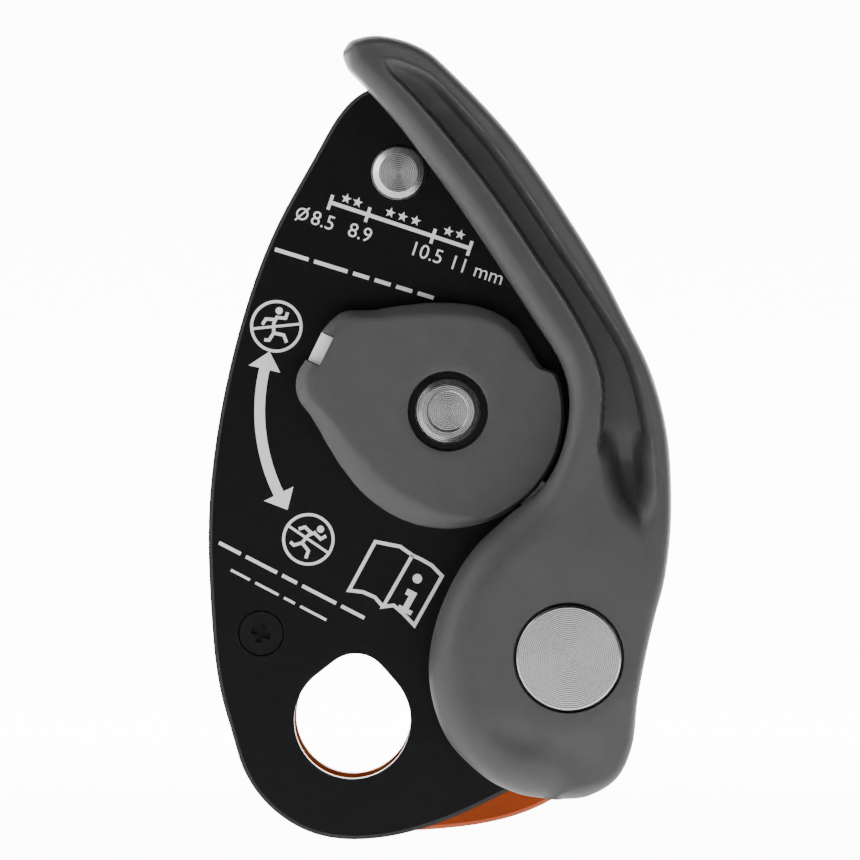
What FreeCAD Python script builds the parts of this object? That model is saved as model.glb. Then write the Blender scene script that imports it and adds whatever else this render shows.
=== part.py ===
import FreeCAD, Part
import math
import os
import re

import Sketcher

# Rope grab with assisted braking, in millimetres.
# The origin is the centre of the attachment hole, halfway between the two side plates.
# X points across the plates, Z up towards the nose, and the handle is on the -Y side.

V = FreeCAD.Vector
TO_Y = FreeCAD.Rotation(V(1, 0, 0), -90)  # turns a primitive's own Z axis to +Y
TO_MINUS_Y = FreeCAD.Rotation(V(1, 0, 0), 90)

DIMENSIONS = [
    # places of the axes in the plane of the plates
    ("cam_x", 14.3), ("cam_z", 46.4),
    ("pivot_x", 32.2), ("pivot_z", 9.85),
    ("nose_x", 6.9), ("nose_z", 82.15),
    ("post_x", -13.7), ("post_z", 13.1),
    ("anvil_x", 42.3), ("anvil_z", 38.3),
    ("spring_post_x", 40.6), ("spring_post_z", 4.2),
    # stations through the thickness, along Y
    ("fixed_outer", -9.5), ("fixed_inner", -6.5),
    ("moving_inner", 6.7), ("moving_outer", 9.7),
    ("between_end", 6.4),
    ("knob_back", -9.7), ("knob_front", -15.5), ("knob_ceiling", -13.3),
    ("handle_back", -9.8), ("handle_front", -22.0), ("handle_ceiling", -17.0),
    ("relief_ceiling", -11.95),
    ("arm_back", -9.9), ("arm_front", -11.5),
    # attachment hole: a round seat with an egg-shaped rise
    ("hole_radius", 8.75), ("hole_top_radius", 5.17), ("hole_rise", 4.9), ("hole_tilt", 5.5),
    ("bottom_radius", 17.9), ("edge_chamfer", 0.6),
    # axles and pins
    ("cam_axle_radius", 3.0), ("running_gap", 0.05), ("cam_head_radius", 4.85),
    ("pivot_radius", 4.0), ("pivot_head_radius", 7.0), ("cap_radius", 7.8),
    ("nose_radius", 4.1), ("nose_shank", 2.4), ("nose_post_radius", 5.5),
    ("screw_head_radius", 3.25), ("screw_shank", 1.5), ("stop_post_radius", 4.0),
    # cam and release
    ("cam_base", 14.0), ("cam_flange", 2.0), ("cam_lobe", 22.0), ("cam_travel", 28.0),
    ("web_half", 4.3), ("cam_half", 6.2), ("cam_hub_radius", 6.0),
    ("link_radius", 10.5), ("link_pin", 1.5), ("arm_reach", 30.0), ("arm_angle", -44.0),
    ("lobe_reach", 12.0), ("lobe_angle", 195.0), ("finger_radius", 2.4),
    ("lobe_hub_radius", 7.7),
    # selector
    ("knob_turn", 69.0), ("detent_radius", 14.0), ("ball_radius", 1.0),
    ("button_angle", 153.9), ("button_outer", 22.1), ("button_width", 4.6),
    ("button_travel", 1.5),
    # handle
    ("spring_mean", 9.9), ("spring_wire", 0.6), ("handle_bore", 4.95),
]

doc = FreeCAD.newDocument("rope_grab")
sheet = doc.addObject("Spreadsheet::Sheet", "Sizes")
for row, (alias, number) in enumerate(DIMENSIONS, start=1):
    sheet.set(f"A{row}", alias)
    sheet.set(f"B{row}", str(number))
    sheet.setAlias(f"B{row}", alias)
doc.recompute()

ALIASES = re.compile(r"\b(" + "|".join(alias for alias, _ in DIMENSIONS) + r")\b")
nodes = []


def size(alias):
    return float(sheet.get(alias))


def bind(thing, **formulas):
    """Bind properties to the sheet; a dot in a property's path is written as two underscores."""
    for path, formula in formulas.items():
        text = ALIASES.sub(lambda found: "Sizes." + found.group(1), formula)
        thing.setExpression(path.replace("__", "."), text)


def node(thing, label):
    """Record a finished sub-part: its label is its file's name."""
    thing.Label = label
    nodes.append(thing)
    return thing


def polar(centre_x, centre_z, radius, degrees):
    angle = math.radians(degrees)
    return (centre_x + radius * math.cos(angle), centre_z + radius * math.sin(angle))


# ---- round pieces, turned about an axis along Y ---------------------------------------------


def disc(name, centre, near, far, radius, far_radius=None):
    """A cylinder or cone from station near to station far, where near is the -Y end."""
    kind = "Part::Cone" if far_radius else "Part::Cylinder"
    piece = doc.addObject(kind, name)
    piece.Placement = FreeCAD.Placement(V(0, 0, 0), TO_Y)
    bind(piece, Height=f"({far}) - ({near})", Placement__Base__x=centre + "_x",
         Placement__Base__y=near, Placement__Base__z=centre + "_z")
    if far_radius:
        bind(piece, Radius1=radius, Radius2=far_radius)
    else:
        bind(piece, Radius=radius)
    return piece


def fuse(name, pieces):
    if len(pieces) == 1:
        return pieces[0]
    whole = doc.addObject("Part::MultiFuse", name)
    whole.Shapes = pieces
    whole.Refine = True
    return whole


def cut(name, base, tools):
    result = doc.addObject("Part::Cut", name)
    result.Base = base
    result.Tool = fuse(name + "_tools", tools)
    return result


def turned(label, centre, steps, bores=()):
    """Coaxial steps of (near, far, radius[, far radius]) less coaxial bores of the same form."""
    solid = fuse(label + "_solid", [disc(f"{label}_step{i}", centre, *step)
                                    for i, step in enumerate(steps)])
    if bores:
        tools = [disc(f"{label}_bore{i}", centre, *bore) for i, bore in enumerate(bores)]
        solid = cut(label + "_turned", solid, tools)
    return node(solid, label)


# ---- flat and moulded pieces, sketched in the plane of the plates --------------------------


def curve(points, start=None, end=None):
    """A smooth edge through hand-picked (x, z) points, with optional end directions."""
    spline = Part.BSplineCurve()
    poles = [V(x, z, 0) for x, z in points]
    if start and end:
        spline.interpolate(Points=poles, InitialTangent=V(*start, 0), FinalTangent=V(*end, 0))
    else:
        spline.interpolate(Points=poles)
    return spline


def closed_curve(points):
    spline = Part.BSplineCurve()
    spline.interpolate(Points=[V(x, z, 0) for x, z in points], PeriodicFlag=True)
    return spline


def arc(centre, radius, start, end):
    """An arc of a circle, counter-clockwise from start to end in degrees."""
    circle = Part.Circle(V(centre[0], centre[1], 0), V(0, 0, 1), radius)
    return Part.ArcOfCircle(circle, math.radians(start), math.radians(end))


def line(first, last):
    return Part.LineSegment(V(first[0], first[1], 0), V(last[0], last[1], 0))


def polygon(points):
    return [line(a, b) for a, b in zip(points, points[1:] + points[:1])]


def slot_outline(centre, radius, half_width, start, end):
    """An arc-shaped slot with round ends, about a centre, from start to end in degrees."""
    first = polar(*centre, radius, start)
    last = polar(*centre, radius, end)
    return [arc(centre, radius + half_width, start, end),
            arc(last, half_width, end, end + 180),
            arc(centre, radius - half_width, start, end),
            arc(first, half_width, start + 180, start + 360)]


def sketch_on(body, name, station):
    """A sketch in the XZ plane of a body, at a station along Y."""
    plane = [f for f in body.Origin.OriginFeatures if f.Role == "XZ_Plane"][0]
    sketch = body.newObject("Sketcher::SketchObject", name)
    sketch.AttachmentSupport = [(plane, "")]
    sketch.MapMode = "FlatFace"
    bind(sketch, AttachmentOffset__Base__z=f"-({station})")
    return sketch


def circles(sketch, places):
    """Circles of (centre alias stem or (x, z), radius formula), bound to the sheet."""
    for centre, radius in places:
        x, z = (size(centre + "_x"), size(centre + "_z")) if isinstance(centre, str) else centre
        index = sketch.addGeometry(Part.Circle(V(x, z, 0), V(0, 0, 1), 1.0), False)
        held = sketch.addConstraint(Sketcher.Constraint("Radius", index, 1.0))
        bind(sketch, **{f"Constraints[{held}]": radius})
        if isinstance(centre, str):
            for kind, axis, place in (("DistanceX", "_x", x), ("DistanceY", "_z", z)):
                held = sketch.addConstraint(Sketcher.Constraint(kind, -1, 1, index, 3, place))
                bind(sketch, **{f"Constraints[{held}]": centre + axis})


def pad(body, name, station, depth, geometry=(), places=()):
    """Pad an outline towards -Y from a station by a depth."""
    sketch = sketch_on(body, name + "_sketch", station)
    sketch.addGeometry(list(geometry), False)
    circles(sketch, places)
    feature = body.newObject("PartDesign::Pad", name)
    feature.Profile = sketch
    bind(feature, Length=depth)
    doc.recompute()
    return feature


def pocket(body, name, station, depth, geometry=(), places=()):
    """Cut an outline from a station towards +Y by a depth, and check that it cut."""
    before = body.Shape.Volume
    sketch = sketch_on(body, name + "_sketch", station)
    sketch.addGeometry(list(geometry), False)
    circles(sketch, places)
    feature = body.newObject("PartDesign::Pocket", name)
    feature.Profile = sketch
    bind(feature, Length=depth)
    doc.recompute()
    if not body.Shape.Volume < before - 1e-3:
        raise RuntimeError(f"{name} cuts nothing")
    if not body.Shape.isValid() or "Invalid" in feature.State:
        raise RuntimeError(f"{name} spoils its body")
    return feature


def chamfer_faces(body, name, station, width, keep=lambda edge: True):
    """Chamfer the edges of a body that lie wholly at a station along Y."""
    base = body.Tip
    picked = []
    for number, edge in enumerate(base.Shape.Edges, start=1):
        box = edge.BoundBox
        flat = abs(box.YMin - station) < 1e-3 and abs(box.YMax - station) < 1e-3
        if flat and keep(edge):
            picked.append(f"Edge{number}")
    feature = body.newObject("PartDesign::Chamfer", name)
    feature.Base = (base, picked)
    bind(feature, Size=width)
    doc.recompute()
    if "Invalid" in feature.State:
        raise RuntimeError(f"{name} failed")
    return feature


def new_body(label):
    return node(doc.addObject("PartDesign::Body", label + "_body"), label)


def coil(label, axis_start, direction, mean, wire, pitch, turns, clocking=0.0):
    """A round-wire coil spring with its axis from a point along a direction."""
    path = Part.Wire(Part.makeLongHelix(pitch, pitch * turns, mean).Edges)
    first = path.Edges[0]
    ring = Part.Circle(V(mean, 0, 0), first.tangentAt(first.FirstParameter), wire)
    swept = path.makePipeShell([Part.Wire([ring.toShape()])], True, True)
    spring = doc.addObject("Part::Feature", label + "_coil")
    spring.Shape = swept
    turn = FreeCAD.Rotation(V(0, 0, 1), V(*direction)) * FreeCAD.Rotation(V(0, 0, 1), clocking)
    spring.Placement = FreeCAD.Placement(V(*axis_start), turn)
    return node(spring, label)


# ---- shared places --------------------------------------------------------------------------

CAM = (size("cam_x"), size("cam_z"))
PIVOT = (size("pivot_x"), size("pivot_z"))
ANVIL = (size("anvil_x"), size("anvil_z"))


def attachment_outline():
    """A round seat whose upper end rises through two tangents to a smaller arc."""
    seat = size("hole_radius")
    top = size("hole_top_radius")
    up = 90 - size("hole_tilt")
    spread = math.degrees(math.acos((seat - top) / size("hole_rise")))
    peak = polar(0, 0, size("hole_rise"), up)
    right_low = polar(0, 0, seat, up - spread)
    left_low = polar(0, 0, seat, up + spread)
    right_high = polar(*peak, top, up - spread)
    left_high = polar(*peak, top, up + spread)
    return [arc((0, 0), seat, up + spread, up + 360 - spread), line(right_low, right_high),
            arc(peak, top, up - spread, up + spread), line(left_high, left_low)]


def plate_outline(lower_right):
    """The pear outline: a round bottom about the hole, a long left side, and a blunt nose."""
    bottom = [polar(0, 0, size("bottom_radius"), angle) for angle in (195, 215, 235, 255, 275)]
    left = [(-5, 85.75), (-10.9, 75.1), (-16.4, 60.6), (-19.9, 45.6), (-21.6, 29), (-21.2, 16.5),
            (-19.6, 3.5)]
    nose = [(7.4, 94.4), (2.9, 94.8), (0, 93.1)]
    right = [(43.3, 13), (45.4, 29), (44.4, 44), (38, 61), (25, 79.2), (12.5, 91.6)]
    return [closed_curve(bottom + lower_right + right + nose + left)]


# ---- frame: the fixed side plate and what is fastened to it --------------------------------


def fixed_side_plate():
    body = new_body("fixed_side_plate")
    outline = plate_outline([(8, -16.9), (15, -14.6), (23.4, -10.6), (33.5, -4.6), (40.2, 2.5)])
    pad(body, "fixed_plate", "fixed_inner", "fixed_inner - fixed_outer", outline)
    pocket(body, "fixed_attachment", "fixed_outer", "10", attachment_outline())
    pocket(body, "fixed_bores", "fixed_outer", "10", places=[
        ("cam", "cam_axle_radius"), ("pivot", "pivot_radius"), ("nose", "nose_shank"),
        ("post", "screw_shank + 0.05"), ("spring_post", "1.2")])
    pocket(body, "screw_counterbore", "fixed_outer", "1.7",
           places=[("post", "screw_head_radius + 0.2")])
    sweep = (size("arm_angle") - size("cam_travel") - 1, size("arm_angle") + 1)
    link_slot = slot_outline(CAM, size("link_radius"), size("link_pin") + 0.3, *sweep)
    pocket(body, "link_slot", "fixed_outer", "10", link_slot)
    track = slot_outline(CAM, size("detent_radius"), 1.1, 90, 90 + size("knob_turn"))
    pocket(body, "detent_track", "fixed_outer", "0.45", track)
    return body


def frame_pieces():
    fixed_side_plate()
    turned("cam_axle", "cam",
           [("knob_front - 0.5", "knob_front + 0.4", "cam_head_radius - 0.9", "cam_head_radius"),
            ("knob_front + 0.4", "knob_front + 0.9", "cam_head_radius"),
            ("knob_front + 0.9", "between_end", "cam_axle_radius")],
           [("knob_front - 0.6", "knob_front - 0.2", "3.3", "2.9")])
    turned("knob_washer", "cam", [("knob_front + 1.0", "knob_front + 1.5", "5.8")],
           [("knob_front + 0.9", "knob_front + 1.6", "cam_axle_radius + 0.05")])
    turned("handle_axle", "pivot",
           [("handle_front + 1.9", "10.45", "pivot_radius"),
            ("10.45", "12.2", "pivot_head_radius"),
            ("12.2", "12.8", "pivot_head_radius", "pivot_head_radius - 0.8")],
           [("12.3", "12.9", "3.0", "3.4")])
    turned("pivot_cap", "pivot",
           [("handle_front - 0.3", "handle_front", "cap_radius - 0.3", "cap_radius"),
            ("handle_front", "handle_front + 1.9", "cap_radius")])
    turned("axle_spacer", "pivot", [("fixed_inner", "between_end", "6.5")],
           [("fixed_inner - 1", "between_end + 1", "pivot_radius")])
    turned("wave_washer", "pivot", [("10.05", "10.45", "6.6")],
           [("9.9", "10.6", "pivot_radius + 0.05")])
    turned("nose_rivet", "nose",
           [("fixed_outer - 1.5", "fixed_outer - 0.9", "nose_radius - 1.2", "nose_radius - 0.3"),
            ("fixed_outer - 0.9", "fixed_outer - 0.5", "nose_radius - 0.3", "nose_radius"),
            ("fixed_outer - 0.5", "fixed_outer", "nose_radius"),
            ("fixed_outer", "between_end - 0.9", "nose_shank"),
            ("between_end - 0.9", "between_end", "3.6")])
    turned("nose_post", "nose", [("fixed_inner", "between_end", "nose_post_radius")],
           [("fixed_inner - 1", "between_end + 1", "nose_shank"),
            ("between_end - 0.9", "between_end + 1", "3.6")])
    turned("stop_post", "post", [("fixed_inner", "between_end", "stop_post_radius")],
           [("fixed_inner - 1", "1.0", "screw_shank")])
    screw_head = [("fixed_outer + 0.1", "fixed_outer + 1.7", "screw_head_radius"),
                  ("fixed_outer + 1.7", "0", "screw_shank")]
    screw = fuse("screw_blank", [disc(f"screw_step{i}", "post", *s)
                                 for i, s in enumerate(screw_head)])
    lobes = []
    for turn in (20, 110):
        bar = doc.addObject("Part::Box", f"recess_bar{turn}")
        bind(bar, Length="2.9", Width="1.2", Height="0.95")
        rotation = FreeCAD.Rotation(V(0, 1, 0), turn)
        corner = rotation.multVec(V(-1.45, 0, -0.475))
        bar.Placement = FreeCAD.Placement(corner, rotation)
        bind(bar, Placement__Base__x=f"post_x + ({corner.x})", Placement__Base__y="fixed_outer",
             Placement__Base__z=f"post_z + ({corner.z})")
        lobes.append(bar)
    node(cut("screw_cut", screw, lobes), "post_screw")
    turned("spring_post", "spring_post", [("-12.0", "fixed_inner", "1.2")])


def friction_pieces():
    """The stainless block that the rope is squeezed against, with its two rivets."""
    body = new_body("friction_plate")
    low = (39.6, 25.6)
    slope = math.degrees(math.atan2(ANVIL[1] - low[1], ANVIL[0] - low[0]))
    top_radius, low_radius = 3.1, 2.6
    pad(body, "friction_bar", "between_end", "between_end - fixed_inner",
        [arc(ANVIL, top_radius, slope - 90, slope + 90),
         line(polar(*ANVIL, top_radius, slope + 90), polar(*low, low_radius, slope + 90)),
         arc(low, low_radius, slope + 90, slope + 270),
         line(polar(*low, low_radius, slope - 90), polar(*ANVIL, top_radius, slope - 90))])
    holes = [(ANVIL, "1.3"), (low, "1.3")]
    pocket(body, "friction_holes", "fixed_inner", "3.0", places=holes)
    plate = next(n for n in nodes if n.Label == "fixed_side_plate")
    pocket(plate, "friction_rivet_holes", "fixed_outer", "10", places=holes)
    pins = doc.addObject("Part::Feature", "friction_rivet_pair")
    length = size("fixed_inner") + 3.0 - size("fixed_outer")
    pins.Shape = Part.Compound([
        Part.makeCylinder(1.3, length, V(x, size("fixed_outer"), z), V(0, 1, 0))
        for x, z in (ANVIL, low)])
    node(pins, "friction_rivets")
    chamfer_faces(plate, "fixed_edges", size("fixed_outer"), "edge_chamfer",
                  lambda edge: edge.BoundBox.DiagonalLength > 60)


# ---- cam: what turns with the rope ----------------------------------------------------------


def cam_outline(offset):
    """An egg about the cam axis: a round rope seat and one lobe that squeezes the rope."""
    base = size("cam_base") + offset
    tip = polar(*CAM, size("cam_lobe") + offset - 4.0, 12)
    side = curve([polar(*CAM, base, 120), polar(*CAM, base + 0.8, 85),
                  polar(*CAM, base + 3.4, 52), polar(*tip, 4.0, 60)],
                 (math.cos(math.radians(30)), math.sin(math.radians(30))),
                 (math.cos(math.radians(-30)), math.sin(math.radians(-30))))
    nose = arc(tip, 4.0, -85, 60)
    under = curve([polar(*tip, 4.0, -85), polar(*CAM, base + 1.2, -22), polar(*CAM, base, -60)],
                  (-math.cos(math.radians(-5)), -math.sin(math.radians(5))),
                  (math.cos(math.radians(210)), math.sin(math.radians(210))))
    return [side, nose, under, arc(CAM, base, 120, 300)]


def cam_pieces():
    body = new_body("cam")
    offset = size("cam_flange")
    pad(body, "cam_web", "web_half", "2 * web_half", cam_outline(0))
    pad(body, "cam_front_flange", "-web_half + 0.01", "cam_half - web_half", cam_outline(offset))
    pad(body, "cam_back_flange", "cam_half", "cam_half - web_half + 0.01", cam_outline(offset))
    pocket(body, "cam_bore", "-cam_half", "20", places=[("cam", "cam_hub_radius - 1.9")])
    link = polar(*CAM, size("link_radius"), size("arm_angle"))
    pocket(body, "cam_link_bore", "-cam_half", "6", places=[(link, "link_pin")])
    turned("cam_bush", "cam", [("-cam_half", "cam_half", "cam_hub_radius - 1.9")],
           [("-cam_half - 1", "cam_half + 1", "cam_axle_radius + running_gap")])
    pin = doc.addObject("Part::Cylinder", "link_pin_rod")
    pin.Placement = FreeCAD.Placement(V(link[0], 0, link[1]), TO_Y)
    bind(pin, Radius="link_pin", Height="6 - cam_half - arm_front", Placement__Base__y="arm_front")
    node(pin, "link_pin")
    arm = new_body("release_arm")
    finger = polar(*CAM, size("arm_reach"), size("arm_angle"))
    half = 2.4
    shank_start = polar(*CAM, 5.5, size("arm_angle"))
    side = size("arm_angle") + 90
    pad(arm, "arm_hub", "arm_back", "arm_back - arm_front", places=[("cam", "cam_hub_radius")])
    pad(arm, "arm_shank", "arm_back", "arm_back - arm_front",
        polygon([polar(*shank_start, half, side), polar(*shank_start, -half, side),
                 polar(*finger, -half, side), polar(*finger, half, side)]))
    pad(arm, "arm_finger", "arm_back", "arm_back - arm_front",
        places=[(finger, "finger_radius")])
    pocket(arm, "arm_bores", "arm_front", "5",
           places=[("cam", "cam_axle_radius + running_gap"), (link, "link_pin")])
    coil("cam_spring", (CAM[0], size("arm_front") - 0.5, CAM[1]), (0, -1, 0), 7.6, 0.35, 0.9, 1)


# ---- handle and release lobe ----------------------------------------------------------------

HANDLE_OUTLINE = [
    (-0.9, 99.2), (0, 101), (3.3, 102), (7.55, 101.2), (12.3, 98.6), (20, 90.9), (26.9, 82.6),
    (33.45, 73), (40, 61.5), (45, 50.6), (47.4, 39), (47.5, 29.5), (45.9, 19.3), (43.4, 8.6),
    (41.9, -1.2), (39.6, -8), (34.5, -11), (28.5, -11.3), (20, -8.15), (14.4, -2.4),
    (11.6, 5.6), (12.4, 14.2), (17.1, 24.2), (25.5, 32.2), (31.3, 40.6), (32.3, 49.5),
    (27, 60.4), (17.4, 75), (8.6, 87.1), (1.3, 95.5)]
CHANNEL_OUTLINE = [
    (7, 96.6), (13.6, 94.3), (22.45, 83.9), (31.3, 70.5), (38.5, 59), (43, 49.5), (45, 37),
    (44.4, 27.6), (41.6, 28), (37.6, 34), (36.8, 42), (35.6, 53.5), (29.6, 65), (20, 79),
    (11.8, 89)]


def handle_pieces():
    body = new_body("handle")
    pad(body, "handle_body", "handle_back", "handle_back - handle_front",
        [closed_curve(HANDLE_OUTLINE)])
    pocket(body, "thumb_channel", "handle_front", "4.5", [closed_curve(CHANNEL_OUTLINE)])
    # the hub is hollow below: a room for the spring and lobe, a central boss and a side relief
    depth = "handle_back - handle_ceiling"
    pocket(body, "spring_room", "handle_ceiling", depth,
           places=[("pivot", "16.2"), ("pivot", "8.1")])
    pocket(body, "boss_relief", "relief_ceiling", "handle_back - relief_ceiling",
           places=[("pivot", "8.2")])
    wedge = [PIVOT, polar(*PIVOT, 34, 254), polar(*PIVOT, 48, 210), polar(*PIVOT, 48, 165),
             polar(*PIVOT, 36, 125), polar(*PIVOT, 31, 84), polar(*PIVOT, 24, 58)]
    pocket(body, "arm_relief", "relief_ceiling", "handle_back - relief_ceiling", polygon(wedge))
    pocket(body, "cap_seat", "handle_front", "2.0", places=[("pivot", "cap_radius + 0.4")])
    pocket(body, "handle_bore_cut", "handle_front", "20", places=[("pivot", "handle_bore")])
    ball_place = polar(*PIVOT, 6.3, 30)
    pocket(body, "ball_bore", "-15.5", "4", places=[(ball_place, "ball_radius + 0.05")])
    chamfer_faces(body, "handle_edge", size("handle_front"), "1.6",
                  lambda edge: edge.BoundBox.DiagonalLength > 105)
    turned("handle_bush", "pivot", [("handle_front + 2.0", "relief_ceiling", "handle_bore")],
           [("handle_front + 1", "0", "pivot_radius + running_gap")])
    coil("handle_spring", (PIVOT[0], -12.9, PIVOT[1]), (0, -1, 0), size("spring_mean"),
         size("spring_wire"), 1.55, 2)
    ball("clutch_ball", (ball_place[0], -12.2, ball_place[1]))
    coil("clutch_spring", (ball_place[0], -13.4, ball_place[1]), (0, -1, 0), 0.7, 0.15, 0.55, 3)
    lobe = new_body("release_lobe")
    finger = polar(*PIVOT, size("lobe_reach"), size("lobe_angle"))
    side = size("lobe_angle") + 90
    half = size("finger_radius")
    root = polar(*PIVOT, 6.6, size("lobe_angle"))
    thickness = "arm_back - arm_front"
    pad(lobe, "lobe_hub", "arm_back", thickness, places=[("pivot", "lobe_hub_radius")])
    pad(lobe, "lobe_shank", "arm_back", thickness,
        polygon([polar(*root, half, side), polar(*root, -half, side),
                 polar(*finger, -half, side), polar(*finger, half, side)]))
    pad(lobe, "lobe_finger", "arm_back", thickness, places=[(finger, "finger_radius")])
    pocket(lobe, "lobe_bore", "arm_front", "5", places=[("pivot", "pivot_radius + 0.08")])
    track = slot_outline(PIVOT, 6.3, 0.95, -15, 30)
    pocket(lobe, "clutch_track", "arm_front", "0.5", track)


def ball(label, centre):
    sphere = doc.addObject("Part::Sphere", label + "_sphere")
    bind(sphere, Radius="ball_radius")
    sphere.Placement = FreeCAD.Placement(V(*centre), FreeCAD.Rotation())
    return node(sphere, label)


# ---- selector knob and its button -----------------------------------------------------------

KNOB_OUTLINE = [
    (3, 61.35), (10, 62.4), (15, 62.6), (20, 61.7), (24.2, 59.4), (28.2, 53.2), (30.4, 52.1),
    (31.6, 48), (31.5, 43.5), (29.4, 37.4), (25, 32.6), (19.5, 29.8), (14.3, 28.75),
    (9, 29.55), (3.5, 32.5), (-1.1, 37.5), (-4.4, 43), (-7.6, 47.4), (-8.5, 49.4),
    (-8.1, 52.3), (-6.6, 54.6), (-5.3, 57.9), (-3.2, 60.2), (-0.6, 61.7)]


def radial_box(radius_low, radius_high, width):
    """The corners of a box that points outward from the cam axis at the button's angle."""
    angle = size("button_angle")
    inner = polar(*CAM, radius_low, angle)
    outer = polar(*CAM, radius_high, angle)
    return polygon([polar(*inner, width / 2, angle + 90), polar(*inner, -width / 2, angle + 90),
                    polar(*outer, -width / 2, angle + 90), polar(*outer, width / 2, angle + 90)])


def selector_pieces():
    body = new_body("selector_knob")
    depth = "knob_back - knob_front"
    pad(body, "knob_body", "knob_back", depth, [closed_curve(KNOB_OUTLINE)])
    pocket(body, "knob_room", "knob_ceiling", "knob_back - knob_ceiling",
           places=[("cam", "11.0"), ("cam", "5.6")])
    pocket(body, "knob_boss_relief", "relief_ceiling", "knob_back - relief_ceiling",
           places=[("cam", "5.7")])
    wedge = [polar(*CAM, 5, 88), polar(*CAM, 40, -36), polar(*CAM, 40, -90),
             polar(*CAM, 40, -149)]
    pocket(body, "knob_arm_relief", "relief_ceiling", "knob_back - relief_ceiling",
           polygon(wedge))
    pocket(body, "knob_recess", "knob_front", "1.6", places=[("cam", "5.95")])
    pocket(body, "knob_bore", "knob_front", "10", places=[("cam", "cam_axle_radius + 0.05")])
    width = size("button_width")
    outer = size("button_outer")
    pocket(body, "button_notch", "knob_front - 1", "8", radial_box(outer - 1.9, 25, width + 0.2))
    pocket(body, "button_slot", "-14.3", "8", radial_box(17.3, 25, width + 0.2))
    pocket(body, "button_room", "-14.3", "8", radial_box(12.6, 17.4, width + 1.4))
    ball_place = polar(*CAM, size("detent_radius"), 90)
    pocket(body, "detent_bore", "-14.2", "10", places=[(ball_place, "ball_radius + 0.05")])
    ball("detent_ball", (ball_place[0], -10.2, ball_place[1]))
    coil("detent_spring", (ball_place[0], -11.4, ball_place[1]), (0, -1, 0), 0.7, 0.15, 0.6, 4)
    button = new_body("selector_button")
    button_depth = 14.2 - 10.0
    pad(button, "button_head", "-10.0", str(button_depth), radial_box(17.2, outer, width))
    pad(button, "button_heel", "-10.0", str(button_depth), radial_box(16.0, 17.2, width + 1.0))
    angle = math.radians(size("button_angle"))
    inward = (-math.cos(angle), 0, -math.sin(angle))
    seat = polar(*CAM, 15.8, size("button_angle"))
    coil("button_spring", (seat[0], -12.1, seat[1]), inward, 1.2, 0.18, 0.7, 4)


# ---- moving side plate ----------------------------------------------------------------------


def outer_edge(edge):
    """True for the long edge around the plate, false for the edges of its holes."""
    return edge.BoundBox.DiagonalLength > 60


def moving_plate_pieces():
    body = new_body("moving_side_plate")
    outline = plate_outline([(8, -17.6), (16, -17), (24.5, -15.3), (32.5, -11.4), (38.5, -5),
                             (41.5, 3.5)])
    pad(body, "moving_plate", "moving_outer", "moving_outer - moving_inner", outline)
    pocket(body, "moving_attachment", "moving_inner", "10", attachment_outline())
    pocket(body, "moving_bores", "moving_inner", "10",
           places=[("pivot", "6.4"), ("cam", "4.6"), ("nose", "4.6")])
    chamfer_faces(body, "moving_edges", size("moving_outer"), "edge_chamfer", outer_edge)
    chamfer_faces(body, "moving_lip", size("moving_inner"), "edge_chamfer", outer_edge)
    turned("plate_bush", "pivot", [("moving_inner", "moving_outer + 0.3", "6.4")],
           [("moving_inner - 1", "moving_outer + 1", "pivot_radius + running_gap")])


def check_and_export():
    doc.recompute()
    for thing in doc.Objects:
        if "Invalid" in thing.State or "Error" in thing.State:
            raise RuntimeError(f"{thing.Label} failed: {thing.State}")
    os.makedirs("parts", exist_ok=True)
    for piece in nodes:
        shape = piece.Shape
        if shape.isNull() or not shape.isValid() or shape.Volume <= 0:
            raise RuntimeError(f"{piece.Label} has no sound shape")
        shape.exportStep(f"parts/{piece.Label}.step")
        print(f"{piece.Label:20s} {shape.Volume:10.1f} mm3, {len(shape.Solids)} solid(s)")


frame_pieces()
friction_pieces()
cam_pieces()
handle_pieces()
selector_pieces()
moving_plate_pieces()
check_and_export()
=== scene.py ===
import math

import bmesh
import bpy
import numpy as np
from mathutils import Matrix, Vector


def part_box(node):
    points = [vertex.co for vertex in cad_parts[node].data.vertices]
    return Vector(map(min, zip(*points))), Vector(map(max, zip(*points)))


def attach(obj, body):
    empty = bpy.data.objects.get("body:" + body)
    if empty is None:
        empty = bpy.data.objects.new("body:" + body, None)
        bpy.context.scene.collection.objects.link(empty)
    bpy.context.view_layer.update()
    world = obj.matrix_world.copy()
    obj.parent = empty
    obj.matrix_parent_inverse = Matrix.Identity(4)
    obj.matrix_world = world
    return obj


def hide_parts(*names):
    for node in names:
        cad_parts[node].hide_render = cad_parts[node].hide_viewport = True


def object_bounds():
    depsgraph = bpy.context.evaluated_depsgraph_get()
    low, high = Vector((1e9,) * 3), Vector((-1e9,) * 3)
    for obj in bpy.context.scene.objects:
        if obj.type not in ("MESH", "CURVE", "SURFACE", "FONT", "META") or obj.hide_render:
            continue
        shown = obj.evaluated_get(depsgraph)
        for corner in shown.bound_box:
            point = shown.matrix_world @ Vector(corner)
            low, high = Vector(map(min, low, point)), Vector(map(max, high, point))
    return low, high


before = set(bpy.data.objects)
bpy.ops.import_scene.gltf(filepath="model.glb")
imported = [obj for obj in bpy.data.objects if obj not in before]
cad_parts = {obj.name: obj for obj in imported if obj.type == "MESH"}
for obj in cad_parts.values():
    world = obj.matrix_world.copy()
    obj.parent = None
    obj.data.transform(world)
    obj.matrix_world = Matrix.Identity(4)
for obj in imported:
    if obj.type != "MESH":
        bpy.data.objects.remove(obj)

MM = 0.001
CAD_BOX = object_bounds()

# ---- places taken from the frame ------------------------------------------------------------


def centre(node):
    low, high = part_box(node)
    return (Vector(low) + Vector(high)) / 2 / MM


def face(node, side):
    """The y of a node's front (-Y) or back (+Y) face, in millimetres."""
    low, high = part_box(node)
    return (low[1] if side == "front" else high[1]) / MM


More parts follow.
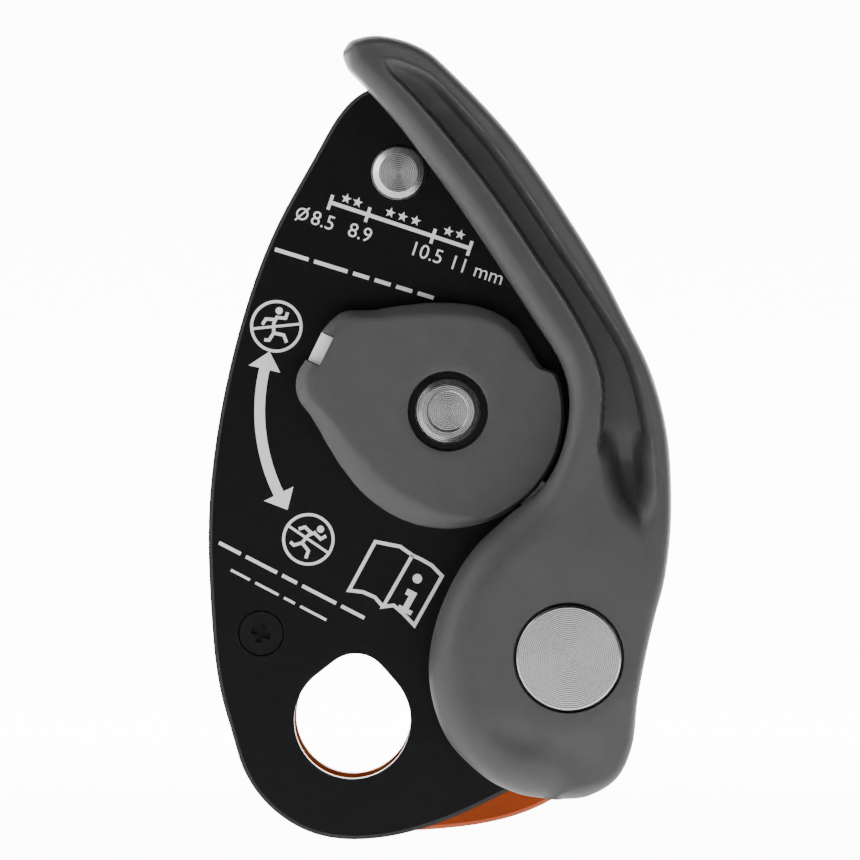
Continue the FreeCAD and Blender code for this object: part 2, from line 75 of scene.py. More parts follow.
CAM = centre("cam_axle")
PIVOT = centre("handle_axle")
NOSE = centre("nose_rivet")
PLATE_FRONT = face("fixed_side_plate", "front")
KNOB_FRONT = face("selector_knob", "front")
KNOB_BACK = face("selector_knob", "back")
HUB_FRONT = face("handle", "front")
HUB_BACK = face("handle", "back")
CAP_RADIUS = (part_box("pivot_cap")[1][0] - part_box("pivot_cap")[0][0]) / MM / 2

# ---- materials ------------------------------------------------------------------------------


class Shader:
    """A Principled material with short calls for the nodes that feed it."""

    def __init__(self, name, colour, roughness, metallic=0.0):
        self.material = bpy.data.materials.new(name)
        self.material.use_nodes = True
        self.tree = self.material.node_tree
        self.surface = self.tree.nodes["Principled BSDF"]
        self.surface.inputs["Base Color"].default_value = (*colour, 1)
        self.surface.inputs["Roughness"].default_value = roughness
        self.surface.inputs["Metallic"].default_value = metallic
        self.coords = self.add("ShaderNodeTexCoord").outputs["Object"]

    def add(self, kind, **settings):
        made = self.tree.nodes.new(kind)
        for key, value in settings.items():
            setattr(made, key, value)
        return made

    def link(self, output, target):
        self.tree.links.new(output, target)

    def noise(self, scale, detail=3.0):
        made = self.add("ShaderNodeTexNoise")
        made.inputs["Scale"].default_value = scale
        made.inputs["Detail"].default_value = detail
        self.link(self.coords, made.inputs["Vector"])
        return made.outputs["Fac"]

    def remap(self, value, low, high):
        made = self.add("ShaderNodeMapRange")
        made.inputs["To Min"].default_value = low
        made.inputs["To Max"].default_value = high
        self.link(value, made.inputs["Value"])
        return made.outputs["Result"]

    def vary_colour(self, value, dark, light):
        ramp = self.add("ShaderNodeMix", data_type="RGBA")
        ramp.inputs["A"].default_value = (*dark, 1)
        ramp.inputs["B"].default_value = (*light, 1)
        self.link(value, ramp.inputs["Factor"])
        self.link(ramp.outputs["Result"], self.surface.inputs["Base Color"])

    def vary_roughness(self, value, low, high):
        self.link(self.remap(value, low, high), self.surface.inputs["Roughness"])

    def bump(self, value, height):
        made = self.add("ShaderNodeBump")
        made.inputs["Strength"].default_value = 1.0
        made.inputs["Distance"].default_value = height
        self.link(value, made.inputs["Height"])
        self.link(made.outputs["Normal"], self.surface.inputs["Normal"])

    def rings(self, place, spacing):
        """Concentric turning marks about an axis along Y through a place in millimetres."""
        moved = self.add("ShaderNodeVectorMath", operation="SUBTRACT")
        moved.inputs[1].default_value = tuple(place * MM)
        self.link(self.coords, moved.inputs[0])
        wave = self.add("ShaderNodeTexWave", wave_type="RINGS", rings_direction="Y")
        wave.inputs["Scale"].default_value = 2 * math.pi / spacing / 20
        wave.inputs["Distortion"].default_value = 0.4
        self.link(moved.outputs[0], wave.inputs["Vector"])
        return wave.outputs["Fac"]


def anodised(name, dark, light, roughness):
    made = Shader(name, light, roughness, 0.55)
    made.surface.inputs["Specular IOR Level"].default_value = 0.3
    cloud = made.noise(90)
    made.vary_colour(cloud, dark, light)
    made.vary_roughness(made.noise(700), roughness - 0.05, roughness + 0.07)
    made.bump(made.noise(5200, 2.0), 0.000012)
    return made.material


def nylon():
    """Glass-filled nylon: a fine matt grain over faint flow marks."""
    made = Shader("grey_nylon", (0.039, 0.039, 0.0395), 0.5)
    made.vary_colour(made.noise(260, 5.0), (0.044, 0.0442, 0.0445), (0.055, 0.0553, 0.0555))
    made.vary_roughness(made.noise(1500), 0.46, 0.6)
    made.surface.inputs["Specular IOR Level"].default_value = 0.42
    made.bump(made.noise(3600, 2.0), 0.00003)
    return made.material


def turned_steel(name, place, shade, roughness):
    made = Shader(name, (shade, shade, shade * 1.01), roughness, 1.0)
    marks = made.rings(place, 0.00028)
    made.vary_roughness(marks, roughness - 0.05, roughness + 0.08)
    made.surface.inputs["Anisotropic"].default_value = 0.75
    tangent = made.add("ShaderNodeTangent", direction_type="RADIAL", axis="Y")
    made.link(tangent.outputs["Tangent"], made.surface.inputs["Tangent"])
    made.bump(marks, 0.000006)
    return made.material


def plain_metal(name, dark, light, roughness, grain=1400):
    made = Shader(name, light, roughness, 1.0)
    made.vary_colour(made.noise(300), dark, light)
    made.vary_roughness(made.noise(grain), roughness - 0.05, roughness + 0.08)
    made.bump(made.noise(grain * 2, 2.0), 0.000008)
    return made.material


def plastic(name, dark, light, roughness):
    made = Shader(name, light, roughness)
    made.vary_colour(made.noise(500), dark, light)
    made.vary_roughness(made.noise(900), roughness - 0.04, roughness + 0.06)
    made.bump(made.noise(2500, 2.0), 0.000012)
    return made.material


BLACK = anodised("black_anodised", (0.0028, 0.0028, 0.0033), (0.0042, 0.0042, 0.005), 0.42)
ORANGE = anodised("orange_anodised", (0.22, 0.030, 0.002), (0.28, 0.042, 0.003), 0.34)
NYLON = nylon()
MARK = plastic("white_mark", (0.74, 0.74, 0.73), (0.82, 0.82, 0.81), 0.55)
WHITE = plastic("white_plastic", (0.82, 0.82, 0.81), (0.9, 0.9, 0.89), 0.35)
BLACK_STEEL = plain_metal("black_steel", (0.012, 0.012, 0.013), (0.022, 0.022, 0.024), 0.36)
STEEL = plain_metal("steel", (0.42, 0.42, 0.43), (0.58, 0.58, 0.59), 0.3)
BRONZE = plain_metal("bronze", (0.44, 0.29, 0.12), (0.58, 0.4, 0.18), 0.34)
CAP = turned_steel("turned_cap", PIVOT, 0.5, 0.24)
RIVET_NOSE = turned_steel("turned_nose_rivet", NOSE, 0.46, 0.28)
RIVET_CAM = turned_steel("turned_cam_rivet", CAM, 0.42, 0.28)

NODE_MATERIALS = {
    "fixed_side_plate": BLACK, "stop_post": BLACK, "moving_side_plate": ORANGE,
    "handle": NYLON, "selector_knob": NYLON, "selector_button": WHITE,
    "knob_washer": BLACK_STEEL, "post_screw": BLACK_STEEL,
    "cam_bush": BRONZE, "handle_bush": BRONZE, "plate_bush": BRONZE,
    "pivot_cap": CAP, "nose_rivet": RIVET_NOSE, "cam_axle": RIVET_CAM,
}


def dress_cad_nodes():
    for name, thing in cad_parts.items():
        material = NODE_MATERIALS.get(name, STEEL)
        for slot in thing.material_slots:
            slot.material = material


# ---- mesh helpers ---------------------------------------------------------------------------


def new_piece(name, vertices, faces, material, body, smooth_angle=None):
    """A mesh piece from millimetre vertices, riding on a body."""
    mesh = bpy.data.meshes.new(name)
    mesh.from_pydata([tuple(c * MM for c in v) for v in vertices], [], faces)
    piece = bpy.data.objects.new(name, mesh)
    bpy.context.scene.collection.objects.link(piece)
    tidy = bmesh.new()
    tidy.from_mesh(mesh)
    bmesh.ops.remove_doubles(tidy, verts=tidy.verts, dist=1e-7)
    bmesh.ops.dissolve_degenerate(tidy, edges=tidy.edges, dist=1e-8)
    bmesh.ops.recalc_face_normals(tidy, faces=tidy.faces)
    tidy.to_mesh(mesh)
    tidy.free()
    mesh.materials.append(material)
    if smooth_angle is not None:
        shade(mesh, smooth_angle)
    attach(piece, body)
    return piece


def shade(mesh, angle):
    mesh.shade_smooth()
    mesh.set_sharp_from_angle(angle=math.radians(angle))


def spline(points, count, closed=False):
    """Catmull-Rom samples through listed points, evenly spread between them."""
    knots = np.array(points, float)
    spans = len(knots) if closed else len(knots) - 1
    samples = []
    for value in np.linspace(0, spans, count, endpoint=not closed):
        i = min(int(value), spans - 1)
        t = value - i
        if closed:
            p = [knots[(i + k) % len(knots)] for k in (-1, 0, 1, 2)]
        else:
            p = [knots[min(max(i + k, 0), len(knots) - 1)] for k in (-1, 0, 1, 2)]
        samples.append(0.5 * (2 * p[1] + (p[2] - p[0]) * t
                              + (2 * p[0] - 5 * p[1] + 4 * p[2] - p[3]) * t ** 2
                              + (3 * p[1] - p[0] - 3 * p[2] + p[3]) * t ** 3))
    return np.array(samples)


def smooth(value):
    value = np.clip(value, 0, 1)
    return value * value * (3 - 2 * value)


def distance_to(points, path):
    """The distance of each (x, z) point to a polyline."""
    best = np.full(len(points), 1e9)
    for a, b in zip(path[:-1], path[1:]):
        along = b - a
        reach = np.clip(((points - a) @ along) / max(along @ along, 1e-12), 0, 1)
        best = np.minimum(best, np.linalg.norm(points - a - reach[:, None] * along, axis=1))
    return best


def inside(points, loop):
    """True where an (x, z) point lies inside a closed loop."""
    hit = np.zeros(len(points), bool)
    for (ax, az), (bx, bz) in zip(loop, np.roll(loop, -1, axis=0)):
        if az == bz:
            continue
        crosses = (az > points[:, 1]) != (bz > points[:, 1])
        at = ax + (points[:, 1] - az) * (bx - ax) / (bz - az)
        hit ^= crosses & (points[:, 0] < at)
    return hit


def drum(name, place, radius, near, far, inner=0.0, sides=128):
    """A scratch cylinder or ring along Y, for cutting."""
    rings = [(radius, near), (radius, far)]
    if inner:
        rings += [(inner, far), (inner, near)]
    vertices = []
    for r, y in rings:
        for k in range(sides):
            a = 2 * math.pi * k / sides
            vertices.append(((place[0] + r * math.cos(a)) * MM, y * MM,
                             (place[2] + r * math.sin(a)) * MM))
    faces = []
    count = len(rings)
    for ring in range(count if inner else count - 1):
        a, b = ring * sides, ((ring + 1) % count) * sides
        faces += [(a + k, a + (k + 1) % sides, b + (k + 1) % sides, b + k)
                  for k in range(sides)]
    if not inner:
        faces += [tuple(range(sides)), tuple(range(sides, 2 * sides))]
    return scratch(name, vertices, faces)


def scratch(name, vertices, faces):
    mesh = bpy.data.meshes.new(name)
    mesh.from_pydata(vertices, [], faces)
    work = bmesh.new()
    work.from_mesh(mesh)
    bmesh.ops.recalc_face_normals(work, faces=work.faces)
    work.to_mesh(mesh)
    work.free()
    cutter = bpy.data.objects.new(name, mesh)
    bpy.context.scene.collection.objects.link(cutter)
    return cutter


def carve(piece, cutters, smooth_angle):
    """Cut scratch solids out of a piece and throw the scratch solids away."""
    for cutter in cutters:
        modifier = piece.modifiers.new("carve", "BOOLEAN")
        modifier.operation = "DIFFERENCE"
        modifier.solver = "EXACT"
        modifier.object = cutter
    graph = bpy.context.evaluated_depsgraph_get()
    carved = bpy.data.meshes.new_from_object(piece.evaluated_get(graph))
    piece.modifiers.clear()
    piece.data = carved
    for cutter in cutters:
        bpy.data.objects.remove(cutter)
    shade(carved, smooth_angle)


# ---- handle ---------------------------------------------------------------------------------

# matching places along the left (knob side) and right (outer) edges, tip first
HANDLE_LEFT = [(-1.3, 99.1), (-0.5, 97.4), (1.6, 95.2), (5, 91.5), (8.7, 87), (17.3, 75.2),
               (26.9, 60.5), (31.2, 53.5), (32.45, 47.6), (31.3, 40.5), (28.2, 34.8),
               (23.2, 30.7), (17.1, 24.4), (12.8, 15.6), (11.5, 6.8), (13.9, -1.8),
               (19.3, -7.7), (24.4, -10.4), (28.5, -11.25)]
HANDLE_RIGHT = [(-1.25, 99.9), (0.2, 101.5), (4.3, 102.1), (9.8, 100.6), (14.4, 97.1),
                (24.5, 86.2), (35, 70.7), (40.6, 60.3), (44.7, 51.5), (47, 42), (47.45, 31),
                (46.6, 22.2), (45, 15.8), (43.7, 10.2), (42.5, 3.7), (41.7, -3.2),
                (39.4, -8.2), (35.2, -10.9), (31.2, -11.35)]
CHANNEL_INNER = [(4.9, 98.5), (5.6, 96.4), (8.6, 93.4), (13.6, 87.7), (20, 79.6), (26.9, 69.6),
                 (33, 60.2), (36.7, 51.8), (36.8, 45), (36.4, 40), (38, 32.8), (40.85, 28.7),
                 (43.2, 26.4)]
CHANNEL_OUTER = [(4.9, 98.5), (7.2, 98.3), (12, 95.9), (17.1, 90.7), (22.45, 84.15),
                 (30, 72.9), (36.7, 62.8), (41.9, 53.6), (44.3, 43.6), (45.3, 33.8),
                 (44.3, 27.2), (43.2, 26.4)]
ROWS = 300
COLUMNS = 96


def channel_depth(points):
    """How far the long thumb channel sinks below the handle's face at each point."""
    inner = spline(CHANNEL_INNER, 160)
    outer = spline(CHANNEL_OUTER, 160)
    within = inside(points, np.vstack([inner, outer[::-1]]))
    to_inner = distance_to(points, inner)
    to_outer = distance_to(points, outer)
    height = points[:, 1]
    floor = 4.3 * smooth((99.5 - height) / 9.0)
    scoop = smooth((45 - height) / 7) * 1.3
    rise = smooth((height - 26.2) / 13.5)
    walls = np.minimum(smooth(to_inner / 0.7), smooth(to_outer / 1.3))
    soft = np.minimum(smooth(to_inner / 3.6), smooth(to_outer / 3.2))
    low_end = smooth((44 - height) / 5)
    shape = walls * (1 - low_end) + soft * low_end
    return np.where(within, (floor + scoop) * shape * rise, 0)


def lip_height(points):
    """The fine raised line that runs along the channel's edges."""
    edges = np.minimum(distance_to(points, spline(CHANNEL_INNER, 160)[:130]),
                       distance_to(points, spline(CHANNEL_OUTER, 160)[:130]))
    return 0.12 * np.exp(-(edges / 0.28) ** 2)


def handle_surface(left, right):
    across = (1 - np.cos(np.linspace(0, np.pi, COLUMNS))) / 2
    grid = left[:, None] + (right - left)[:, None] * across[None, :, None]
    points = grid.reshape(-1, 2)
    along = np.repeat(np.linspace(0, 1, ROWS), COLUMNS)
    side = np.tile(across, ROWS)
    to_left = distance_to(points, left)
    to_right = distance_to(points, right)
    hub = smooth((along - 0.5) / 0.13)
    foot = smooth((along - 0.86) / 0.12)
    left_width = 2.6 + 3.3 * hub
    left_drop = 2.4 + 2.6 * hub
    right_width = 1.35 + 2.4 * foot
    right_drop = 1.7 + 1.9 * foot

    def fall(distance, width, drop):
        t = np.clip(1 - distance / width, 0, 1)
        return drop * (1 - np.sqrt(1 - t * t))

    height = -HUB_FRONT * np.ones(len(points))
    height -= np.maximum(fall(to_left, left_width, left_drop),
                         fall(to_right, right_width, right_drop))
    # the inner ridge falls gently towards the channel, and the tip is thinner
    height -= 0.45 * (1 - hub) * smooth((to_left - 2.2) / 3.5)
    height -= 1.6 * smooth((0.13 - along) / 0.13)
    # below the cap the face turns down past a soft crease
    crease = (points[:, 0] - 37) * 0.55 - (points[:, 1] - 1.6) * 0.83
    height -= 0.16 * np.clip(crease, 0, None) * smooth((12 - points[:, 1]) / 6)
    height -= 0.9 * np.exp(-((to_left - 8) / 3.4) ** 2) * smooth((3 - points[:, 1]) / 6) * 0.4
    height -= channel_depth(points)
    height += lip_height(points) * (1 - hub * 0.6)
    return points, -height, side


def hub_underside(points):
    """The underside is lifted where the release arm passes beneath the hub."""
    angle = np.degrees(np.arctan2(points[:, 1] - PIVOT[2], points[:, 0] - PIVOT[0])) % 360
    reach = np.hypot(points[:, 0] - PIVOT[0], points[:, 1] - PIVOT[2])
    lifted = (angle > 58) & (angle < 254) & (reach < 36)
    return np.where(lifted, HUB_BACK - 2.15, HUB_BACK)


def make_handle():
    left = spline(HANDLE_LEFT, ROWS)
    right = spline(HANDLE_RIGHT, ROWS)
    points, tops, _ = handle_surface(left, right)
    bottoms = hub_underside(points)
    count = len(points)
    vertices = [(x, y, z) for (x, z), y in zip(points, tops)]
    vertices += [(x, y, z) for (x, z), y in zip(points, bottoms)]
    faces = []
    for row in range(ROWS - 1):
        for column in range(COLUMNS - 1):
            a = row * COLUMNS + column
            quad = (a, a + 1, a + COLUMNS + 1, a + COLUMNS)
            faces.append(quad)
            faces.append(tuple(i + count for i in reversed(quad)))
    rim = [row * COLUMNS for row in range(ROWS)]
    rim += [(ROWS - 1) * COLUMNS + c for c in range(1, COLUMNS)]
    rim += [row * COLUMNS + COLUMNS - 1 for row in range(ROWS - 2, -1, -1)]
    rim += [c for c in range(COLUMNS - 2, 0, -1)]
    for a, b in zip(rim, rim[1:] + rim[:1]):
        faces.append((a, b, b + count, a + count))
    piece = new_piece("handle_grip", vertices, faces, NYLON, "handle")
    carve(piece, [drum("cap_seat", PIVOT, CAP_RADIUS + 0.42, HUB_FRONT - 2, HUB_FRONT + 1.95),
                  drum("axle_bore", PIVOT, 4.97, HUB_FRONT, HUB_BACK + 1),
                  drum("spring_room", PIVOT, 10.1, HUB_BACK - 7.2, HUB_BACK + 1, inner=8.1)],
          38)
    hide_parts("handle")


# ---- selector knob --------------------------------------------------------------------------

# (angle about the cam axle in degrees, radius), counter-clockwise from the right-hand step
KNOB_RADII = [(-70, 17.5), (-45, 17.55), (-20, 17.55), (0, 17.4), (14, 17.35), (20, 17.1),
              (24.5, 15.5), (30, 15.35), (40, 15.6), (49, 16.25), (58, 16.4), (70, 16.35),
              (85, 16.15), (97, 16.3), (108, 16.75), (118, 17.6), (126, 18.6), (131, 19.9),
              (136, 21.6), (142, 22.1), (149, 22.3), (155, 22.2), (161, 22.6), (165, 23.15),
              (171, 23.05), (176, 22.3), (181, 20.6), (188, 19.4), (198, 18.4), (212, 17.75),
              (232, 17.55), (255, 17.55), (275, 17.5)]
KNOB_BEVEL = [(-70, 0.5), (20, 0.45), (45, 1.4), (90, 1.9), (130, 1.5), (160, 1.3), (185, 2.6),
              (215, 3.5), (250, 3.2), (275, 1.4), (290, 0.5)]


def make_knob():
    sides = 360
    angles = np.linspace(-70, 290, sides, endpoint=False)
    turned = np.array(KNOB_RADII + [(290, 17.5)], float)
    rim = np.interp(angles, turned[:, 0], turned[:, 1])
    rim = np.mean([np.roll(rim, k) for k in (-2, -1, 0, 1, 2)], axis=0)
    bevel = np.interp(angles, *np.array(KNOB_BEVEL, float).T)
    depth = 0.55 + 0.35 * bevel
    rings = []

    def ring(radius, y):
        rings.append((radius * np.ones(sides), y * np.ones(sides)))

    recess = 5.95
    ring(3.1, KNOB_BACK)
    ring(3.1, KNOB_FRONT + 1.6)
    ring(recess, KNOB_FRONT + 1.6)
    ring(recess, KNOB_FRONT + 0.25)
    ring(recess + 0.08, KNOB_FRONT + 0.07)
    ring(recess + 0.28, KNOB_FRONT)
    for part in (0.15, 0.35, 0.55, 0.75, 0.92, 1.0):
        ring(recess + 0.28 + (rim - bevel - 0.35 - recess) * part, KNOB_FRONT)
    for part in np.linspace(0, 1, 9)[1:]:
        ease = part ** 1.35
        ring(rim - bevel * (1 - part) - 0.1, KNOB_FRONT + depth * ease)
    ring(rim, KNOB_FRONT + depth + 0.25)
    ring(rim, KNOB_BACK)
    vertices = []
    for radius, y in rings:
        for angle, r, depth_here in zip(np.radians(angles), radius, y):
            vertices.append((CAM[0] + r * math.cos(angle), depth_here,
                             CAM[2] + r * math.sin(angle)))
    faces = []
    for k in range(len(rings)):
        a, b = k * sides, ((k + 1) % len(rings)) * sides
        faces += [(a + i, a + (i + 1) % sides, b + (i + 1) % sides, b + i)
                  for i in range(sides)]
    piece = new_piece("knob_shell", vertices, faces, NYLON, "selector")
    carve(piece, [radial_block("button_notch", 20.15, 25, 4.9, KNOB_FRONT - 1, KNOB_BACK + 1),
                  radial_block("button_slot", 12.6, 20.3, 4.9, KNOB_FRONT + 1.2, KNOB_BACK + 1),
                  drum("knob_room", CAM, 11, KNOB_FRONT + 2.2, KNOB_BACK + 1, inner=5.6)], 32)
    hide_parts("selector_knob")


BUTTON_ANGLE = math.radians(153.9)


def radial_point(radius, aside, y):
    """A point at a radius from the cam axle towards the button, and aside from that line."""
    out = Vector((math.cos(BUTTON_ANGLE), 0, math.sin(BUTTON_ANGLE)))
    across = Vector((-math.sin(BUTTON_ANGLE), 0, math.cos(BUTTON_ANGLE)))
    spot = out * radius + across * aside
    return (CAM[0] + spot.x, y, CAM[2] + spot.z)


def radial_block(name, low, high, width, near, far):
    corners = [radial_point(r, w, y) for y in (near, far)
               for r, w in ((low, -width / 2), (high, -width / 2), (high, width / 2),
                            (low, width / 2))]
    faces = [(0, 1, 2, 3), (4, 5, 6, 7), (0, 1, 5, 4), (1, 2, 6, 5), (2, 3, 7, 6), (3, 0, 4, 7)]
    return scratch(name, [tuple(c * MM for c in v) for v in corners], faces)


# ---- engraved marks on the fixed plate -------------------------------------------------------

MARK_Y = PLATE_FRONT - 0.03


class Marks:
    """Flat white shapes that lie just proud of the plate, gathered into one piece."""

    def __init__(self):
        self.vertices = []
        self.faces = []
        self.level = 0

    def shape(self, outline):
        first = len(self.vertices)
        self.level = (self.level + 1) % 7
        front = MARK_Y - 0.004 * self.level
        for y in (front, front + 0.022):
            self.vertices += [(x, y, z) for x, z in outline]
        n = len(outline)
        self.faces.append(tuple(range(first, first + n)))
        self.faces.append(tuple(range(first + 2 * n - 1, first + n - 1, -1)))
        self.faces += [(first + i, first + (i + 1) % n, first + n + (i + 1) % n, first + n + i)
                       for i in range(n)]

    def stroke(self, start, end, width):
        a, b = np.array(start, float), np.array(end, float)
        along = (b - a) / np.linalg.norm(b - a)
        aside = np.array([-along[1], along[0]]) * width / 2
        self.shape([a + aside, b + aside, b - aside, a - aside])

    def path(self, points, width):
        """A line of strokes with mitred joints."""
        points = np.array(points, float)
        steps = np.diff(points, axis=0)
        steps /= np.linalg.norm(steps, axis=1)[:, None]
        sides = np.stack([-steps[:, 1], steps[:, 0]], axis=1)
        joints = [sides[0]]
        for a, b in zip(sides[:-1], sides[1:]):
            middle = (a + b) / np.linalg.norm(a + b)
            joints.append(middle / max(middle @ a, 0.4))
        joints.append(sides[-1])
        joints = np.array(joints) * width / 2
        for i in range(len(points) - 1):
            self.shape([points[i] + joints[i], points[i + 1] + joints[i + 1],
                        points[i + 1] - joints[i + 1], points[i] - joints[i]])

    def ring(self, place, radius, width, sides=48):
        angles = np.linspace(0, 2 * np.pi, sides + 1)
        circle = np.stack([np.cos(angles), np.sin(angles)], axis=1) * radius
        self.path(circle + np.array(place), width)

    def dot(self, place, radius, sides=24):
        angles = np.linspace(0, 2 * np.pi, sides, endpoint=False)
        self.shape(np.stack([np.cos(angles), np.sin(angles)], axis=1) * radius + place)

    def star(self, place, radius, tilt):
        tips = []
        for k in range(10):
            r = radius if k % 2 == 0 else radius * 0.42
            angle = math.radians(90 + tilt + 36 * k)
            tips.append((place[0] + r * math.cos(angle), place[1] + r * math.sin(angle)))
        self.shape(tips)

    def text(self, words, place, height, tilt):
        """Plain numerals in the built-in font, centred on a place."""
        curve = bpy.data.curves.new("numerals", "FONT")
        curve.body = words
        curve.size = 1.0
        curve.align_x = "CENTER"
        curve.align_y = "CENTER"
        curve.resolution_u = 4
        thing = bpy.data.objects.new("numerals", curve)
        bpy.context.scene.collection.objects.link(thing)
        graph = bpy.context.evaluated_depsgraph_get()
        mesh = bpy.data.meshes.new_from_object(thing.evaluated_get(graph))
        bpy.data.objects.remove(thing)
        cosine, sine = math.cos(math.radians(tilt)), math.sin(math.radians(tilt))
        scale = height / 0.72
        first = len(self.vertices)
        for v in mesh.vertices:
            x, z = v.co.x * scale, v.co.y * scale
            self.vertices.append((place[0] + x * cosine - z * sine, MARK_Y,
                                  place[1] + x * sine + z * cosine))
        self.faces += [tuple(i + first for i in f.vertices) for f in mesh.polygons]

    def finish(self, name):
        return new_piece(name, self.vertices, self.faces, MARK, "frame")


def around(place, offset, tilt):
    a = math.radians(tilt)
    return (place[0] + offset[0] * math.cos(a) - offset[1] * math.sin(a),
            place[1] + offset[0] * math.sin(a) + offset[1] * math.cos(a))


def rope_scale():
    marks = Marks()
    left, right = np.array((-3.3, 77.75)), np.array((17.6, 70.85))
    marks.stroke(left, right, 0.6)
    along = (right - left) / np.linalg.norm(right - left)
    aside = np.array([-along[1], along[0]])
    for part in (0.0, 0.268, 0.737, 1.0):
        spot = left + (right - left) * part
        marks.stroke(spot - aside * 1.15, spot + aside * 1.15, 0.5)
    tilt = math.degrees(math.atan2(along[1], along[0]))
    for star in ((-0.9, 78.3), (0.8, 77.75), (5.7, 76.2), (7.55, 75.6), (9.5, 75),
                 (14.4, 73.4), (16.2, 72.9)):
        marks.star(star, 0.82, tilt)
    marks.ring((-7.5, 76), 0.8, 0.28, 24)
    marks.stroke((-8.6, 75.1), (-6.4, 76.9), 0.28)
    for words, place in (("8.5", (-4.4, 74.9)), ("8.9", (1.15, 73.1)), ("10.5", (11.1, 70.1)),
                         ("11 mm", (18.6, 67.5))):
        marks.text(words, place, 2.2, tilt)
    marks.finish("rope_scale_marks")


def mode_icon(marks, place, tilt):
    """A ring with a bar across a plain figure."""
    marks.ring(place, 3.72, 0.45)
    marks.stroke(around(place, (-3.6, 0.4), tilt), around(place, (3.6, -0.4), tilt), 0.4)
    marks.dot(around(place, (0.9, 2.2), tilt), 0.55)
    for line in ([(0.5, 1.5), (-0.3, 0.5), (-0.6, -0.9)], [(0.3, 1.3), (1.6, 0.9), (2.1, 1.7)],
                 [(0.1, 1.0), (-1.3, 1.4), (-2.0, 0.7)], [(-0.6, -0.9), (0.8, -1.5), (1.0, -2.7)],
                 [(-0.6, -0.9), (-1.5, -1.8), (-2.2, -1.6)]):
        marks.path([around(place, p, tilt) for p in line], 0.5)


def turn_arrow(marks):
    """The double-headed arc that shows which way the selector turns."""
    radius = 28.2
    ends = [math.radians(a) for a in (167, 206)]

    def on_arc(angle, r):
        return (CAM[0] + r * math.cos(angle), CAM[2] + r * math.sin(angle))

    marks.path([on_arc(a, radius) for a in np.linspace(ends[0], ends[1], 40)], 1.6)
    for angle, step in ((ends[0], -1), (ends[1], 1)):
        tip = angle + step * math.radians(5.6)
        marks.shape([on_arc(angle, radius - 2.45), on_arc(tip, radius),
                     on_arc(angle, radius + 2.45)])


def book(marks):
    """An open book in outline, with a plain i on its right page."""
    spine_top, spine_low = (9, 24.8), (4.6, 17.1)
    left_top, left_low = (3.45, 26.85), (-0.5, 19.55)
    right_top, right_low = (13.45, 21.7), (9.3, 14.3)
    marks.path([spine_top, (7.2, 26.1), (5.2, 26.5), left_top, left_low, (1.6, 19.3),
                (3.4, 18.5), spine_low], 0.55)
    marks.path([spine_top, (10.3, 24.2), (11.9, 23.3), right_top, right_low, (7.6, 16.1),
                (6.2, 17.3), spine_low, spine_top], 0.55)
    marks.dot((9.75, 21.3), 0.72)
    marks.path([(8.1, 19.4), (9.1, 18.9), (7.9, 16.7)], 0.95)
    marks.stroke((6.9, 17.1), (8.9, 16.1), 0.7)


def dash_row(marks, start, end, thickness, lengths):
    """A row of plain bars that stands in for a line of lettering."""
    start, end = np.array(start, float), np.array(end, float)
    gap = 0.75
    total = sum(lengths) + gap * (len(lengths) - 1)
    unit = (end - start) / total
    place = 0.0
    for length in lengths:
        marks.stroke(start + unit * place, start + unit * (place + length), thickness)
        place += length + gap


def make_marks():
    rope_scale()
    icons = Marks()
    mode_icon(icons, (-11.4, 59.15), 12)
    mode_icon(icons, (-6.6, 27.2), -28)
    turn_arrow(icons)
    book(icons)
    icons.finish("mode_marks")
    rows = Marks()
    dash_row(rows, (-20, 26.7), (1.8, 15.4), 0.55, (3.2, 4.6, 2.2, 5.0, 3.4))
    dash_row(rows, (-18.2, 22.6), (-3.9, 15.1), 0.4, (2.6, 3.2, 1.5, 3.6))
    dash_row(rows, (-11.6, 70.7), (12.2, 63.4), 0.6, (4.6, 4.6, 2.2, 2.2, 2.2, 2.2))
    rows.finish("plain_marks")


# ---- stage ------------------------------------------------------------------------------------


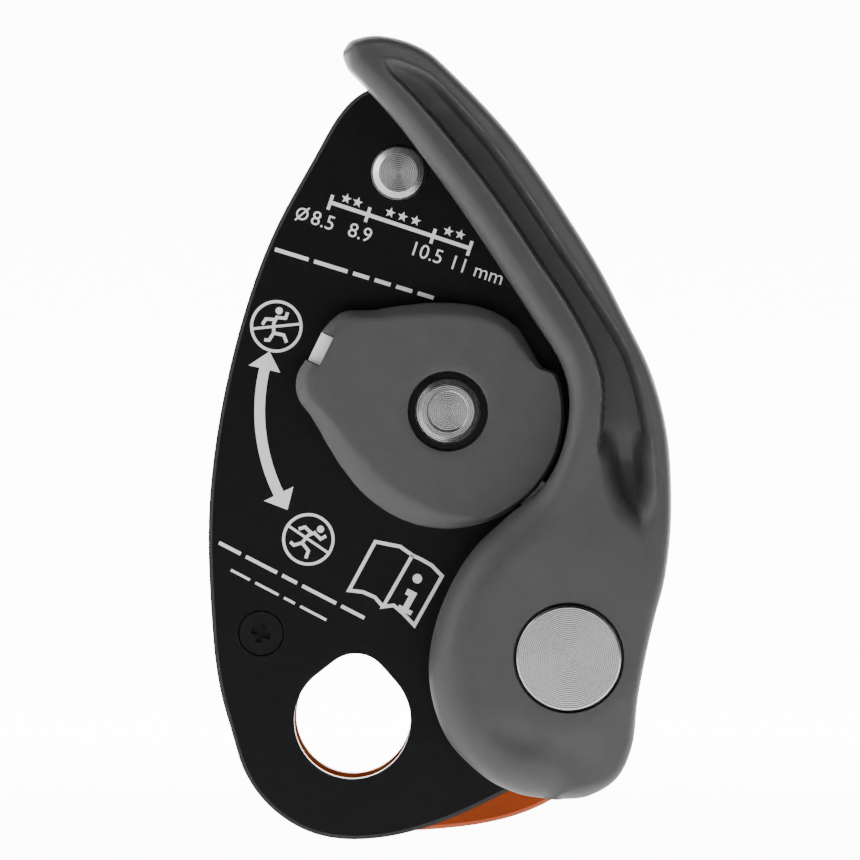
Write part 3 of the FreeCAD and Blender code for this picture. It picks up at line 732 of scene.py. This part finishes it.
def sheet(name, corners, faces, glow):
    """A white stage surface; the far ones glow so that the background burns out to white."""
    mesh = bpy.data.meshes.new(name)
    mesh.from_pydata(corners, [], faces)
    thing = bpy.data.objects.new(name, mesh)
    bpy.context.scene.collection.objects.link(thing)
    made = Shader(name, (0.96, 0.96, 0.96), 0.9)
    made.vary_colour(made.noise(3), (0.95, 0.95, 0.95), (0.96, 0.96, 0.96))
    made.surface.inputs["Emission Color"].default_value = (1, 1, 1, 1)
    made.surface.inputs["Emission Strength"].default_value = glow
    mesh.materials.append(made.material)


def make_stage():
    level = CAD_BOX[0][2] - 0.035
    size, front, middle, back = 2.5, -1.5, 0.4, 1.0
    sheet("floor", [(-size, front, level), (size, front, level), (size, middle, level),
                    (-size, middle, level)], [(0, 1, 2, 3)], 0.0)
    sheet("backdrop", [(-size, middle, level), (size, middle, level), (size, back, level),
                       (-size, back, level), (size, back, size), (-size, back, size)],
          [(0, 1, 2, 3), (3, 2, 4, 5)], 8.0)


def area_light(name, place, target, width, height, power):
    lamp = bpy.data.lights.new(name, "AREA")
    lamp.shape = "RECTANGLE"
    lamp.size, lamp.size_y = width, height
    lamp.energy = power
    thing = bpy.data.objects.new(name, lamp)
    thing.location = place
    aim = Vector(target) - Vector(place)
    thing.rotation_euler = aim.to_track_quat("-Z", "Y").to_euler()
    bpy.context.scene.collection.objects.link(thing)


def make_lights():
    middle = (0.013, 0, 0.045)
    world = bpy.data.worlds.new("studio")
    world.use_nodes = True
    sky = world.node_tree.nodes["Background"]
    sky.inputs["Color"].default_value = (1, 1, 1, 1)
    sky.inputs["Strength"].default_value = 0.0
    bpy.context.scene.world = world
    area_light("key", (-0.9, -0.35, 0.45), middle, 0.4, 0.8, 6.2)
    area_light("fill", (0.95, -0.3, 0.2), middle, 0.3, 1.0, 2.6)
    area_light("top", (0.0, -0.8, 0.6), middle, 0.6, 0.4, 1.0)


def make_camera():
    """Square on to the handle side, from 0.95 m in front of the fixed plate."""
    distance = 0.95
    view_width = 0.129
    camera = bpy.data.cameras.new("camera")
    camera.sensor_width = 36
    camera.lens = camera.sensor_width * distance / view_width
    camera.clip_start, camera.clip_end = 0.05, 10
    thing = bpy.data.objects.new("camera", camera)
    thing.location = (0.01165, PLATE_FRONT * MM - distance, 0.0436)
    thing.rotation_euler = (math.radians(90), 0, 0)
    bpy.context.scene.collection.objects.link(thing)
    bpy.context.scene.camera = thing


dress_cad_nodes()
make_handle()
make_knob()
make_marks()
make_stage()
make_lights()
make_camera()
